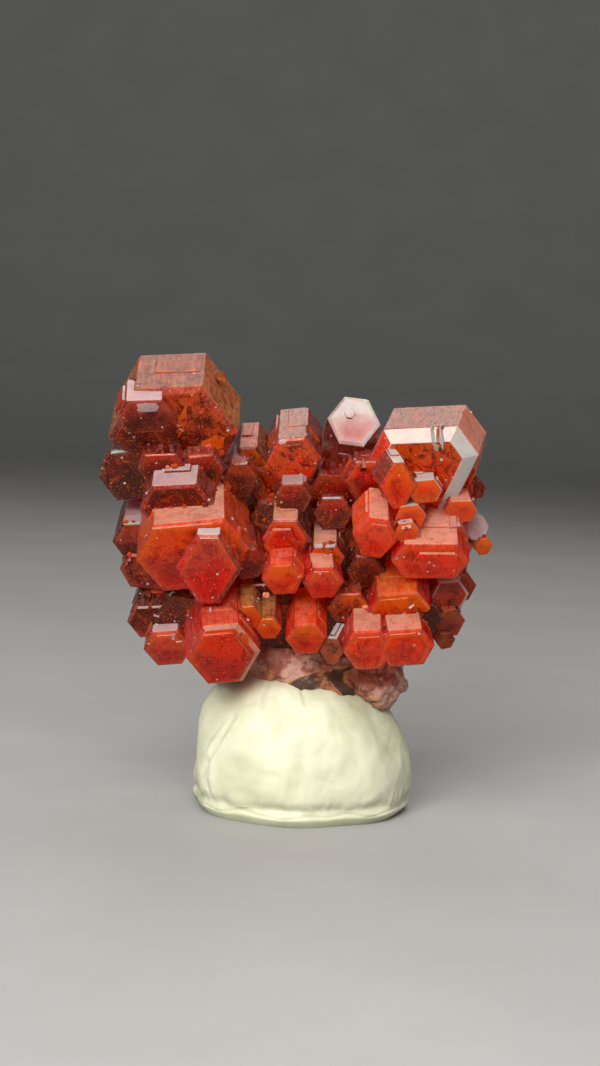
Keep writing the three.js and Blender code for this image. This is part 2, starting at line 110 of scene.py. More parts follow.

# Front crystals: end face's middle on the reading plane (x, depth, z), (half width, half height,
# length, drop), turn (yaw, dip, spin) in degrees, tints, and the rim where it isn't the usual one. The
# tints are of the end face's upper and lower part, the top side, the other sides and the rim, and where
# only two are given the rest are like the first. The top side's tint, mostly paler and pinker than the
# other sides', is painted light from above, and the rim's tint is a painted highlight
FRONT_CRYSTALS = {
    "giant_left": ((-10.8, -5, 30.4), (5.1, 3.6, 5.4, 0.7), (1, 30, 6), "brown maroon tan gold rust"),
    "terrace_left": ((-12.9, -7, 31.2), (2.2, 1.5, 3.2, 0), (5, 30, 5), "mauve maroon lilac rust mauve"),
    "dark_left": ((-13.3, -3.6, 26.9), (3.1, 2.0, 7, 0), (0, 10, 9), "maroon black maroon rust black"),
    "red_left": ((-11.5, -6, 27.4), (1.9, 1.2, 5, 0), (0, 20, 5), "ruby maroon maroon ruby ruby"),
    "red_left_inner": ((-8.4, -5.5, 27.3), (1.8, 1.4, 5, 0), (5, 20, 8), "ruby maroon mauve maroon ruby"),
    "shelf_left": ((-10.2, -7, 24.4), (2.9, 2.1, 6, 0), (0, 30, 7), "maroon ruby lilac mauve ruby"),
    "mid_left": ((-8.8, -8, 20.8), (4.4, 3.0, 7, 0), (4, 25, 9), "orange rose pink orange orange"),
    "point_left": ((-7.6, -9.5, 19.8), (2.5, 2.9, 5, 0), (0, 18, 2), "rose scarlet white rust mauve"),
    "column_left": ((-13.2, -3, 21.7), (1.9, 1.7, 7, 0), (0, 20, 5), "mauve maroon lilac maroon mauve"),
    "foot_left": ((-12.3, -2.5, 19.4), (2.2, 1.5, 6, 0), (-5, 20, -3), "maroon mauve maroon black mauve"),
    "plate_left": ((-11.7, -3, 15.6), (2.1, 1.5, 6, 0), (-5, 25, 5), "maroon mauve maroon black mauve"),
    "base_left": ((-10.5, -5, 13.6), (1.9, 1.6, 6, 0), (0, 25, 8), "salmon rose lilac rust salmon"),
    "low_left": ((-6.2, -9, 13.3), (2.9, 2.7, 7, 0), (6, 25, 8), "flame rose salmon scarlet pink"),
    "gold_step_outer": ((-4.3, -8, 16.3), (1.0, 1.0, 4, 0), (5, 25, 10), "amber flame gold gold amber"),
    "gold_step_inner": ((-2.8, -7.8, 15.5), (1.0, 0.9, 4, 0), (0, 25, 5), "amber flame gold rust amber"),
    "amber_low": ((0.1, -8.5, 14.8), (1.6, 1.4, 5, 0), (0, 28, 6), "amber red orange flame amber"),
    "pale_low": ((2.1, -9, 14.0), (0.9, 1.0, 4, 0), (-10, 10, 0), "tan tan white mauve tan"),
    "low_right_inner": ((4.9, -9, 14.2), (2.0, 1.7, 6, 0), (0, 20, 6), "flame salmon pink scarlet flame"),
    "low_right_outer": ((7.8, -9, 14.5), (2.2, 1.6, 7, 0), (4, 20, 8), "flame salmon pink scarlet flame"),
    "amber_right": ((7.1, -7, 17.3), (2.5, 1.7, 7, 0), (0, 25, 9), "amber scarlet amber scarlet amber"),
    "orange_right": ((9.3, -8, 21.2), (3.0, 1.7, 6, 0), (0, 33, 3), "flame salmon pink scarlet flame"),
    "long_right": ((5.0, -8.5, 22.8), (1.75, 1.8, 4.4, 0), (0, 28, -6), "salmon flame pink orange flame"),
    "centre_tall": ((-1.8, -7, 22.4), (1.9, 1.7, 6, 0), (0, 20, 4), "scarlet flame pink maroon mauve"),
    "amber_centre": ((-1.9, -8.5, 19.4), (1.65, 1.45, 5, 0), (0, 25, 8), "amber flame salmon flame orange"),
    "round_centre": ((1.2, -8, 19.2), (1.6, 1.4, 5, 0), (5, 25, 4), "salmon scarlet pink scarlet flame"),
    "small_centre": ((1.3, -6.5, 21.1), (1.5, 1.1, 5, 0), (0, 20, 6), "flame ruby pink maroon flame"),
    "dark_centre": ((1.7, -4.5, 24.6), (1.6, 1.3, 6, 0), (0, 5, 4), "ruby maroon mauve maroon ruby"),
    "top_middle": ((-1.45, -4, 28.4), (2.2, 1.95, 6.4, 0), (0, 20, 8), "brown flame tan mauve rust"),
    "top_middle_foot": ((-1.4, -6, 25.6), (1.5, 1.2, 5, 0), (0, 12, 5), "ruby maroon lilac maroon mauve"),
    "white_face": ((2.95, -3, 31.7), (2.15, 2.05, 6, 0), (3, -25, -5), "white lilac white ruby white"),
    "deep_red_middle": ((4.1, -5, 27.2), (1.8, 1.6, 6, 0), (0, 15, 4), "scarlet ruby mauve ruby ruby"),
    "giant_right": ((8.5, -6, 27.7), (4.3, 3.85, 5.2, -1.4), (-12, 20, 6), "brown flame tan pink white", 1.0),
    "giant_right_crown": ((9.2, -3.0, 28.7), (3.5, 3.4, 3.6, 0), (-12, 18, 13), "mauve mauve tan tan tan", 0),
    "spire_right": ((6.6, -8.5, 26.9), (1.5, 1.9, 5, 0), (10, 15, 5), "amber flame white mauve brown"),
    "bump_left": ((-7.2, -3.6, 34.5), (0.42, 0.45, 2.4, 0), (20, 0, 12), "tan gold"),
    "ledge_right_upper": ((8.6, -8, 26.6), (1.3, 0.9, 4, 0), (0, 12, 8), "flame brown white ruby white"),
    "ledge_right_middle": ((7.6, -8, 24.6), (1.2, 0.9, 4, 0), (0, 10, 10), "salmon flame white scarlet pink"),
    "ledge_right_lower": ((7.4, -8.5, 23.4), (1.0, 0.8, 4, 0), (5, 15, 12), "salmon flame lilac ruby pink"),
    "salmon_right": ((11.4, -6, 25.2), (1.3, 0.9, 5, 0), (5, 20, 4), "salmon salmon pink salmon pink"),
    "lilac_right": ((12.7, -4, 24.0), (1.0, 0.95, 5, 0), (8, 5, 6), "lilac lilac white mauve lilac"),
    "mauve_step_right": ((11.2, -7, 23.1), (1.0, 1.0, 4, 0), (5, 15, 10), "mauve brown lilac rust mauve"),
    "amber_edge_right": ((13.3, -4, 22.6), (0.75, 0.7, 5, 0), (15, 15, 8), "amber brown tan gold amber"),
    "dark_edge_right": ((12.5, -3, 26.9), (0.8, 0.7, 5, 0), (10, 10, 12), "maroon maroon"),
    "mauve_right": ((10.9, -4, 18.7), (1.6, 1.3, 6, 0), (10, 15, 8), "mauve rose lilac mauve lilac"),
    "tan_right_upper": ((12.0, -3, 19.4), (1.0, 1.2, 6, 0), (15, 20, 12), "mauve tan tan mauve tan"),
    "tan_right_lower": ((11.1, -4, 16.6), (1.2, 1.2, 5, 0), (15, 20, 12), "tan mauve mauve maroon mauve"),
    "tan_right_foot": ((10.8, -4, 15.2), (0.8, 0.7, 4, 0), (15, 20, 12), "tan tan"),
    "ring_right": ((9.3, -7, 16.9), (1.1, 1.0, 6, 0), (0, 5, 0), "black black"),
    "step_back": ((-4.8, -1.5, 28.1), (1.5, 1.4, 4.4, 0), (0, 25, 8), "brown maroon rust tan maroon"),
    "step_front": ((-5.5, -4, 26.8), (1.35, 1.4, 6, 0), (0, 15, 7), "ruby maroon mauve mauve rust"),
    # The crystals in the hollows below have dark tints, which are painted shade
    "recess_upper_left": ((-3.6, -4, 24.0), (1.0, 1.1, 6, 0), (0, 10, 6), "maroon black mauve black maroon"),
    "recess_left": ((-4.6, -7, 20.4), (1.5, 1.3, 5, 0), (5, 20, 8), "ruby maroon"),
    "recess_low": ((-3.0, -5, 17.7), (2.0, 1.4, 6, 0), (0, 15, 5), "maroon black"),
    "recess_right": ((4.4, -5, 20.2), (1.6, 1.4, 6, 0), (-5, 20, 0), "ruby maroon mauve maroon maroon"),
    "recess_right_low": ((3.2, -6, 17.4), (1.7, 1.2, 6, 0), (0, 15, 5), "brown ruby rust maroon rust"),
}

# Crystals in the hollows between the front ones, packed like the cells of a honeycomb. Their dark tints are
# painted shade
RECESS_LEFT = -9.3
RECESS_COLUMNS = 6
RECESS_COLUMN_PITCH = 3.7
RECESS_BOTTOM = 15.4
RECESS_ROWS = 3
RECESS_ROW_PITCH = 4.0
RECESS_SIZE = (2.7, 2.3, 6.5, 0)
RECESS_DEPTH = -2.8
RECESS_LOW = 18.5
RECESS_LOW_LEAN = 0.55
RECESS_DEPTH_SPREAD = 0.4
RECESS_TURN = (0, 12, 0)
RECESS_TURN_SPREAD = (10, 8, 8)
# The darkest tints, as painted shade, go to the hollows' crystals whose jitter is below this
RECESS_DARKEST_SHADED = 0.2

# Crystals on the sides and the back: end face's middle (x, y, z), size, turn and tint as above
BACK_CRYSTALS = {
    "back_top_left": ((-10.4, 4.0, 28.6), (3.4, 2.9, 6.5, 0), (170, -15, 5), "brown ruby"),
    "back_top_step": ((-5.2, 3.6, 26.8), (2.4, 2.2, 5.5, 0), (188, -18, -8), "ruby maroon"),
    "back_top_middle": ((-1.7, 3.4, 27.6), (2.1, 1.9, 5.2, 0), (172, -12, 10), "flame red"),
    "back_top_white": ((4.9, 3.2, 28.4), (2.1, 1.9, 5.2, 0), (190, -15, 0), "ruby flame"),
    "back_top_right": ((9.6, 3.8, 27.0), (3.5, 2.9, 6.5, 0), (168, -8, -6), "flame salmon"),
    "back_left_upper": ((-13.0, 3.2, 23.8), (2.6, 2.2, 9, 0), (215, -5, 8), "ruby scarlet"),
    "back_left_middle": ((-12.8, 2.6, 19.0), (2.2, 2.0, 8, 0), (235, 0, -10), "red ruby"),
    "back_left_lower": ((-11.2, 2.2, 14.8), (2.0, 1.9, 7, 0), (222, 12, 4), "maroon mauve"),
    "back_right_upper": ((12.2, 2.6, 22.9), (2.2, 2.0, 8, 0), (140, -5, -4), "amber flame"),
    "back_right_middle": ((11.6, 2.2, 18.6), (1.9, 1.8, 7, 0), (130, 2, 9), "ruby scarlet"),
    "back_right_lower": ((9.4, 1.8, 14.8), (1.8, 1.7, 6, 0), (142, 12, 0), "flame salmon"),
    "side_left_upper": ((-14.8, -0.8, 26.6), (2.0, 1.9, 6, 0), (-84, -4, 6), "maroon ruby"),
    "side_left_middle": ((-13.9, -0.2, 21.4), (1.8, 1.7, 6, 0), (-95, 4, -8), "ruby mauve"),
    "side_left_lower": ((-12.4, -0.4, 16.6), (1.7, 1.6, 6, 0), (-88, 10, 5), "salmon red"),
    "side_right_upper": ((13.0, -1.2, 26.8), (2.2, 2.0, 6, 0), (82, -6, -5), "flame red"),
    "side_right_middle": ((12.6, -0.8, 20.9), (1.6, 1.5, 6, 0), (96, 2, 7), "amber flame"),
    "side_right_lower": ((10.6, -1.0, 16.2), (1.6, 1.5, 6, 0), (88, 10, -4), "ruby mauve"),
}

# Small crystals scattered over the bare back of the rock
ROCK_CRYSTALS = {
    "rock_high_left": ((-5.6, 6.6, 24.2), (1.6, 1.4, 5, 0), (196, -24, 10), "flame red"),
    "rock_high_middle": ((-1.6, 7.7, 23.6), (1.0, 1.0, 4, 0), (176, -20, -5), "amber flame"),
    "rock_high_right": ((2.6, 7.6, 23.9), (1.4, 1.2, 5, 0), (168, -22, 4), "ruby scarlet"),
    "rock_upper_left": ((-3.4, 9.0, 20.6), (1.3, 1.2, 4, 0), (186, -8, 14), "scarlet ruby"),
    "rock_upper_middle": ((0.3, 8.6, 21.2), (0.7, 0.7, 4, 0), (181, -6, -6), "amber flame"),
    "rock_upper_right": ((5.3, 8.0, 20.4), (1.8, 1.5, 5, 0), (160, -6, 6), "flame salmon"),
    "rock_middle_left": ((-6.6, 7.3, 18.4), (1.0, 0.9, 4, 0), (202, 0, -8), "ruby maroon"),
    "rock_middle": ((-0.9, 8.8, 17.6), (1.6, 1.4, 4, 0), (180, 4, 8), "scarlet ruby"),
    "rock_middle_right": ((3.4, 8.2, 17.0), (0.8, 0.7, 4, 0), (172, 6, 3), "amber amber"),
    "rock_low_left": ((-3.6, 7.7, 14.4), (1.2, 1.1, 4, 0), (190, 14, 8), "salmon red"),
    "rock_low_right": ((2.2, 7.8, 13.6), (1.0, 0.9, 4, 0), (172, 18, -4), "amber flame"),
    "rock_side_right": ((7.2, 5.9, 16.2), (1.1, 1.0, 4, 0), (146, 6, 9), "ruby scarlet"),
}

# How cloudy each tint is: clouds and flecks show most in the dark ones
VEILS = {
    "rust": 1.0, "brown": 1.0, "maroon": 0.8, "black": 0.5, "ruby": 0.75, "mauve": 0.65,
    "white": 0.1, "lilac": 0.2, "pink": 0.35, "tan": 0.8, "gold": 0.8,
}
USUAL_VEIL = 0.55
# How much painted orange glow near its edges, painted light let through thin stone, each tint shows
PAINTED_GLOWS = {
    "black": 0.0, "maroon": 0.1, "ruby": 0.3, "mauve": 0.25, "rose": 0.7, "brown": 0.7, "rust": 0.7,
    "white": 0.0, "lilac": 0.0, "pink": 0.1, "tan": 0.1,
}
USUAL_PAINTED_GLOW = 1.0

# Raised steps on end faces: shift across the face, share of the crystal's own width, rise
GROWTH_STEPS = {
    "centre_tall": ((-0.3, -0.25), 0.74, 0.4),
    "white_face": ((-0.4, 0.55), 0.2, 0.2),
    "low_left": ((-0.25, -0.1), 0.82, 0.25),
    "orange_right": ((0.5, -0.1), 0.66, 0.3),
    "mid_left": ((-0.5, 0.2), 0.86, 0.12),
    "point_left": ((0.1, 0.2), 0.84, 0.1),
    "top_middle": ((-0.15, -0.1), 0.8, 0.12),
    "amber_centre": ((0.12, 0.1), 0.78, 0.12),
    "round_centre": ((-0.15, 0.12), 0.7, 0.15),
    "long_right": ((0.1, -0.1), 0.8, 0.12),
    "low_right_inner": ((0.1, -0.15), 0.78, 0.12),
    "low_right_outer": ((-0.2, 0.1), 0.76, 0.15),
    "amber_right": ((-0.3, 0.1), 0.7, 0.2),
    "base_left": ((0.1, 0.1), 0.75, 0.12),
}
STEP_ROOT = 1.0

# Slivers and thin plates on single crystals: crystal, place in its own frame (x, y, rise), half width,
# half height, depth, spin in degrees, tint
# The white, pink and lilac plates are painted highlights and glints, and the orange plate on giant_left is a
# painted glow
SLIVERS_AND_HIGHLIGHTS = [
    ("giant_right", (0.95, 3.25, 0.02), (0.13, 0.75, 1.2), 4, "white"),
    ("giant_right", (1.35, 3.35, 0.10), (0.10, 0.60, 1.2), -6, "pink"),
    ("giant_right", (1.65, 3.10, 0.16), (0.16, 0.85, 1.2), 3, "white"),
    ("giant_right", (1.20, 2.45, 0.22), (0.22, 0.30, 1.0), 12, "lilac"),
    ("giant_right", (-1.5, -0.6, 0.10), (0.9, 0.5, 0.8), 20, "flame"),
    ("giant_right", (0.4, -1.9, 0.12), (0.8, 0.35, 0.8), -15, "orange"),
    ("giant_left", (0.85, 0.7, 0.05), (0.34, 1.5, 0.8), -16, "orange"),
    ("giant_left", (2.3, 1.6, 0.05), (0.30, 0.12, 0.8), -30, "rose"),
    ("top_middle", (-0.75, 1.72, 0.04), (0.30, 0.16, 0.6), 4, "white"),
    ("giant_left", (3.0, -1.5, 0.05), (1.0, 0.6, 0.8), 24, "amber"),
    ("giant_left", (-0.6, -2.6, 0.06), (1.6, 0.35, 0.8), 4, "ruby"),
    ("terrace_left", (0.2, 0.9, 0.06), (0.9, 0.35, 0.8), 2, "lilac"),
    ("mid_left", (3.2, 0.8, 0.05), (0.5, 1.2, 0.8), -28, "scarlet"),
    ("low_left", (1.5, 1.4, 0.05), (0.6, 0.4, 0.8), -30, "orange"),
    ("dark_left", (-1.1, 1.93, 0.04), (0.75, 0.08, 0.6), 0, "white"),
    ("column_left", (-0.2, 1.60, 0.04), (0.65, 0.07, 0.6), 0, "white"),
    ("plate_left", (0.0, 1.38, 0.04), (1.05, 0.07, 0.6), 2, "white"),
    ("step_front", (0.2, 1.32, 0.04), (0.5, 0.06, 0.5), 0, "lilac"),
    ("dark_centre", (-0.1, 1.22, 0.04), (0.7, 0.07, 0.5), 0, "white"),
    ("small_centre", (0.0, 1.03, 0.04), (0.8, 0.07, 0.5), 0, "white"),
    ("round_centre", (0.25, -0.60, 0.04), (0.17, 0.10, 0.5), 25, "white"),
    ("round_centre", (0.65, -0.35, 0.04), (0.14, 0.08, 0.5), -15, "pink"),
    ("orange_right", (1.95, 0.15, 0.04), (0.30, 0.13, 0.5), -25, "pink"),
    ("orange_right", (1.60, -0.40, 0.04), (0.16, 0.09, 0.5), 10, "white"),
    ("ledge_right_lower", (0.0, 0.45, 0.05), (0.38, 0.13, 0.5), 4, "white"),
    ("deep_red_middle", (-0.5, 1.2, 0.04), (0.45, 0.12, 0.5), 8, "rose"),
]

JITTER_STEPS = (12.9898, 78.233)
JITTER_SCALE = 43758.5453


def jitter(index, purpose):
    """A repeatable number from -1 to 1 for each crystal and purpose."""
    wave = math.sin(index * JITTER_STEPS[0] + purpose * JITTER_STEPS[1]) * JITTER_SCALE
    return 2 * (wave - math.floor(wave)) - 1


def paint(colour):
    """A shader's colour, which is linear, from display values."""
    linear = [c / 12.92 if c <= 0.04045 else ((c + 0.055) / 1.055) ** 2.4 for c in colour]
    return (*linear, 1)


def place_at_depth(at):
    """A place read on the plane in front of the cluster, moved along the line of sight to its depth."""
    x, depth, z = at
    spread = (depth - EYE.y) / (READING_PLANE - EYE.y)
    return Vector((EYE.x + (x - EYE.x) * spread, depth, EYE.z + (z - EYE.z) * spread))


def orientation(turn):
    yaw, dip, spin = (math.radians(angle) for angle in turn)
    lie = math.radians(90) + dip
    return Matrix.Rotation(yaw, 4, "Z") @ Matrix.Rotation(lie, 4, "X") @ Matrix.Rotation(spin, 4, "Z")


def crystal_frame(middle, turn):
    """A crystal's own frame: its origin is the end face's middle, and +Z points out of that face."""
    return Matrix.Translation(middle) @ orientation(turn)


def hexagon(half_width, half_height, drop):
    """A hexagon of 120 degree corners. The drop lowers its two side corners."""
    shortest = SHORTEST_EDGE * half_width
    top = max(half_width - (half_height + drop) * TAN_30, shortest)
    bottom = max(half_width - (half_height - drop) * TAN_30, shortest)
    return [
        (half_width, -drop), (top, half_height), (-top, half_height),
        (-half_width, -drop), (-bottom, -half_height), (bottom, -half_height),
    ]


def usual_rim(size):
    return 0 if size[0] < SMALLEST_RIMMED else RIM_SHARE * min(size[0], size[1])


def mesh_from(bm, name):
    mesh = bpy.data.meshes.new(name)
    bm.to_mesh(mesh)
    bm.free()
    return mesh


def as_piece(name, mesh):
    """A visible piece in metres, from a mesh in millimetres."""
    mesh.transform(Matrix.Scale(MM, 4))
    mesh.name = name
    piece = bpy.data.objects.new(name, mesh)
    bpy.context.scene.collection.objects.link(piece)
    return piece


def united(name, meshes):
    """Overlapping solids joined into one mesh."""
    objects = [bpy.data.objects.new(mesh.name, mesh) for mesh in meshes]
    rest = bpy.data.collections.new(name)
    for obj in objects[1:]:
        rest.objects.link(obj)
    bpy.context.scene.collection.children.link(rest)
    whole = objects[0]
    bpy.context.scene.collection.objects.link(whole)
    union = whole.modifiers.new("union", "BOOLEAN")
    union.operation = "UNION"
    union.operand_type = "COLLECTION"
    union.collection = rest
    union.solver = "MANIFOLD"
    bpy.context.view_layer.update()
    evaluated = whole.evaluated_get(bpy.context.evaluated_depsgraph_get())
    mesh = bpy.data.meshes.new_from_object(evaluated)
    for obj in objects:
        bpy.data.objects.remove(obj)
    bpy.data.collections.remove(rest)
    return mesh


def prism(name, size, rim, matrix, worn):
    """The mesh of a hexagonal prism along +Z that ends at z = 0, with worn edges, placed by the matrix."""
    half_width, half_height, length, drop = size
    bm = bmesh.new()
    rise = rim * RIM_SLOPE
    outline = hexagon(half_width, half_height, drop)
    levels = [(outline, -length), (outline, -rise)]
    if rim > 0:
        levels.append((hexagon(half_width - rim / COS_30, half_height - rim, drop), 0))
    rings = [[bm.verts.new((u, v, z)) for u, v in corners] for corners, z in levels]
    for low, high in zip(rings, rings[1:]):
        for i in range(SIDES):
            after = (i + 1) % SIDES
            bm.faces.new((low[i], low[after], high[after], high[i]))
    bm.faces.new(reversed(rings[0]))
    bm.faces.new(rings[-1])
    if worn > 0:
        edges = [e for e in bm.edges if max(v.co.z for v in e.verts) > -length]
        bmesh.ops.bevel(bm, geom=edges, offset=worn, segments=1, affect="EDGES", clamp_overlap=True)
    bm.transform(matrix)
    return mesh_from(bm, name)


def face_kind(normal):
    """The kind of a face, from its normal in the crystal's own frame."""
    if abs(normal.z) > END_FACING:
        return END_KIND
    around = (math.degrees(math.atan2(normal.y, normal.x)) - FIRST_SIDE) % SIDE_PITCH
    square = min(around, SIDE_PITCH - around) < TURN_SLACK
    upright = abs(normal.z) < TILT_SLACK or abs(normal.z - RIM_NORMAL_Z) < TILT_SLACK
    return SIDE_KIND if upright and square else EDGE_KIND


def face_tints(names, normal):
    """The tints of a face's upper and lower part. A rim has its own tint as a painted highlight where it
    faces up or right, and elsewhere the end face's lower tint as painted shade; the top side's tint is
    painted light from above.
    """
    upper, lower, top, side, rim = names
    if normal.z > END_FACING:
        return upper, lower
    if normal.z > RIM_FACING:
        lit_rim = max(normal.x, normal.y) > LIT_RIM_FACING and normal.x > SHADED_RIM_FACING
        return (rim, rim) if lit_rim else (lower, lower)
    return (top, top) if normal.y > LIT_TOP_FACING else (side, side)


def all_tints(tints):
    """The names of a crystal's tints, where those that aren't given are like the first."""
    names = tints.split()
    return names + [names[0]] * (TINT_COUNT - len(names))


def shell_around(start):
    """The corners that edges join to this one, near and far."""
    shell = {start}
    front = [start]
    while front:
        for edge in front.pop().link_edges:
            new = [vert for vert in edge.verts if vert not in shell]
            shell.update(new)
            front += new
    return shell


def keep_largest(mesh):
    """Drops the shells of closed hollows that the tiny crystals seal off."""
    bm = bmesh.new()
    bm.from_mesh(mesh)
    left = set(bm.verts)
    shells = []
    while left:
        shells.append(shell_around(next(iter(left))))
        left -= shells[-1]
    largest = max(shells, key=len)
    bmesh.ops.delete(bm, geom=[v for v in bm.verts if v not in largest], context="VERTS")
    bm.to_mesh(mesh)
    bm.free()


# Thin steps on a crystal's sides: share of its width, how far they stand out, how far they slide along
# the side and start behind the end face as shares of its size, and how much sooner than it they end
STEP_SHARES = (0.45, 0.8)
STEP_PROUD = (0.05, 0.18)
STEP_SLIDE = 0.5
STEP_BACK = (0.15, 0.5)
STEP_SHORTER = 0.3
LARGE_WIDTH = 1.7
LARGE_STEPS = 4
USUAL_STEPS = 2
ROCK_STEPS = 1

# Tiny crystals in creases and chips on faces: half widths (least, most, usual), and how far they stand
# out at most as a share of those
SHORTEST_CREASE = 0.4
CREASE_SIZES = (0.08, 0.34, 0.13)
CREASE_PROUD = 1.2
CHIP_SIZES = (0.04, 0.14, 0.06)
CHIP_PROUD = 0.5
# For both: the least that they stand out, height as a share of width, lean, and how deep they root
LEAST_PROUD = 0.2
TINY_HEIGHTS = (0.6, 0.95)
TINY_LEAN = 0.5
TINY_ROOT = 0.25
# Up to this half width a tiny crystal mostly gets a pale tint, as a painted glint
LARGEST_GLINT = 0.13
TINY_GLINT_TINTS = ["pink", "lilac", "white", "flame", "white"]
BIGGER_TINTS = ["flame", "ruby", "rust", "maroon", "scarlet", "rust", "ruby"]
CLUSTER_TINIES = 650
CLUSTER_SEED = 3
ROCK_SEED = 5

# What a crystal's faces carry for its material. A span is its crystal's half width, half height and number
FACE_VALUES = {
    "upper_tint": ("FLOAT_COLOR", "FACE"),
    "lower_tint": ("FLOAT_COLOR", "FACE"),
    "place": ("FLOAT_VECTOR", "CORNER"),
    "span": ("FLOAT_VECTOR", "FACE"),
    "kind": ("FLOAT", "FACE"),
    "veil": ("FLOAT", "FACE"),
    "painted_glow": ("FLOAT", "FACE"),
}


class Growth:
    """Collects crystals and their steps as overlapping solids, then joins them into one mesh."""

    def __init__(self, name, seed):
        self.name = name
        self.draw = random.Random(seed)
        self.meshes = []
        self.crystals = []

    def add(self, matrix, size, tints, rim, steps):
        """A crystal in its own frame, with thin steps on its sides."""
        index = len(self.crystals)
        self.crystals.append((matrix.inverted(), size, all_tints(tints)))
        self.solid(index, size, rim, matrix, WORN_EDGE)
        for _ in range(steps):
            self.side_step(index, size, matrix)

    def solid(self, index, size, rim, matrix, worn):
        mesh = prism(f"{self.name}_{len(self.meshes)}", size, rim, matrix, worn)
        owner = mesh.attributes.new("crystal", "INT", "FACE")
        owner.data.foreach_set("value", [index] * len(mesh.polygons))
        self.meshes.append(mesh)

    def end_step(self, size, matrix, shift, share, rise):
        """A raised step on the end face of the crystal that was added last."""
        half_width, half_height, _, drop = size
        raised = (share * half_width, share * half_height, STEP_ROOT + rise, share * drop)
        place = matrix @ Matrix.Translation((*shift, rise))
        self.solid(len(self.crystals) - 1, raised, 0, place, WORN_EDGE / 2)

    def plate(self, matrix, size, tint):
        """A small crystal of one tint, with sharp edges."""
        self.crystals.append((matrix.inverted(), size, all_tints(tint)))
        self.solid(len(self.crystals) - 1, (*size, 0), 0, matrix, 0)

    def side_step(self, index, size, matrix):
        """A thinner prism in line with the crystal, standing a little proud of one of its sides."""
        half_width, half_height, length, drop = size
        share = self.draw.uniform(*STEP_SHARES)
        angle = math.radians(SIDE_PITCH * self.draw.randrange(SIDES) + FIRST_SIDE)
        proud = self.draw.uniform(*STEP_PROUD)
        slide = self.draw.uniform(-STEP_SLIDE, STEP_SLIDE) * (1 - share) * half_width
        out = Vector((math.cos(angle), math.sin(angle), 0))
        along = Vector((-out.y, out.x, 0))
        reach = half_height if abs(out.x) < abs(out.y) else half_width * COS_30
        shift = out * (reach * (1 - share) + proud) + along * slide
        back = self.draw.uniform(*STEP_BACK) * length
        raised = (share * half_width, share * half_height, length - back - STEP_SHORTER, share * drop)
        place = matrix @ Matrix.Translation((shift.x, shift.y, -back))
        self.solid(index, raised, 0, place, WORN_EDGE / 2)

    def sprinkle(self, mesh, count):
        """Tiny crystals in the creases between the large ones, and chips on their faces."""
        bm = bmesh.new()
        bm.from_mesh(mesh)
        owner = bm.faces.layers.int["crystal"]
        creases = [e for e in bm.edges if len(e.link_faces) == 2 and e.calc_length() > SHORTEST_CREASE
                   and e.link_faces[0][owner] != e.link_faces[1][owner]]
        for edge in self.draw.choices(creases, weights=[e.calc_length() for e in creases], k=count):
            spot = edge.verts[0].co.lerp(edge.verts[1].co, self.draw.random())
            normal = edge.link_faces[0].normal + edge.link_faces[1].normal
            self.tiny(spot, normal, CREASE_SIZES, CREASE_PROUD)
        bmesh.ops.triangulate(bm, faces=bm.faces[:])
        for face in self.draw.choices(bm.faces[:], weights=[f.calc_area() for f in bm.faces], k=count):
            share = sorted((self.draw.random(), self.draw.random()))
            weights = (share[0], share[1] - share[0], 1 - share[1])
            spot = sum((v.co * w for v, w in zip(face.verts, weights)), Vector())
            self.tiny(spot, face.normal, CHIP_SIZES, CHIP_PROUD)
        bm.free()

    def tiny(self, spot, normal, sizes, proud):
        lean = Vector([self.draw.uniform(-TINY_LEAN, TINY_LEAN) for _ in range(3)])
        out = (normal + lean).normalized()
        size = self.draw.triangular(*sizes)
        tall = size * self.draw.uniform(*TINY_HEIGHTS)
        middle = spot + out * size * self.draw.uniform(LEAST_PROUD, proud)
        matrix = Matrix.Translation(middle) @ out.to_track_quat("Z", "Y").to_matrix().to_4x4()
        # Painted glints: the smallest get mostly pale tints
        tint = self.draw.choice(TINY_GLINT_TINTS if size < LARGEST_GLINT else BIGGER_TINTS)
        self.plate(matrix, (size, tall, 2 * size + TINY_ROOT), tint)

    def joined(self, sprinkled=0):
        """All solids as one piece, with each face's tints and place in its own crystal."""
        mesh = united(self.name, self.meshes)
        if sprinkled:
            self.meshes = [mesh]
            self.sprinkle(mesh, sprinkled)
            mesh = united(self.name, self.meshes)
            keep_largest(mesh)
        self.write_values(mesh)
        return as_piece(self.name, mesh)

    def write_values(self, mesh):
        for name, (kind, domain) in FACE_VALUES.items():
            mesh.attributes.new(name, kind, domain)
        data = {name: mesh.attributes[name].data for name in ("crystal", *FACE_VALUES)}
        for face in mesh.polygons:
            index = data["crystal"][face.index].value
            inverse, size, names = self.crystals[index]
            normal = inverse.to_3x3() @ face.normal
            upper, lower = face_tints(names, normal)
            data["upper_tint"][face.index].color = paint(TINTS[upper])
            data["lower_tint"][face.index].color = paint(TINTS[lower])
            data["veil"][face.index].value = VEILS.get(upper, USUAL_VEIL)
            data["painted_glow"][face.index].value = PAINTED_GLOWS.get(upper, USUAL_PAINTED_GLOW)
            data["kind"][face.index].value = face_kind(normal)
            data["span"][face.index].vector = (size[0], size[1], index)
            for corner in face.loop_indices:
                spot = mesh.vertices[mesh.loops[corner].vertex_index].co
                data["place"][corner].vector = inverse @ spot


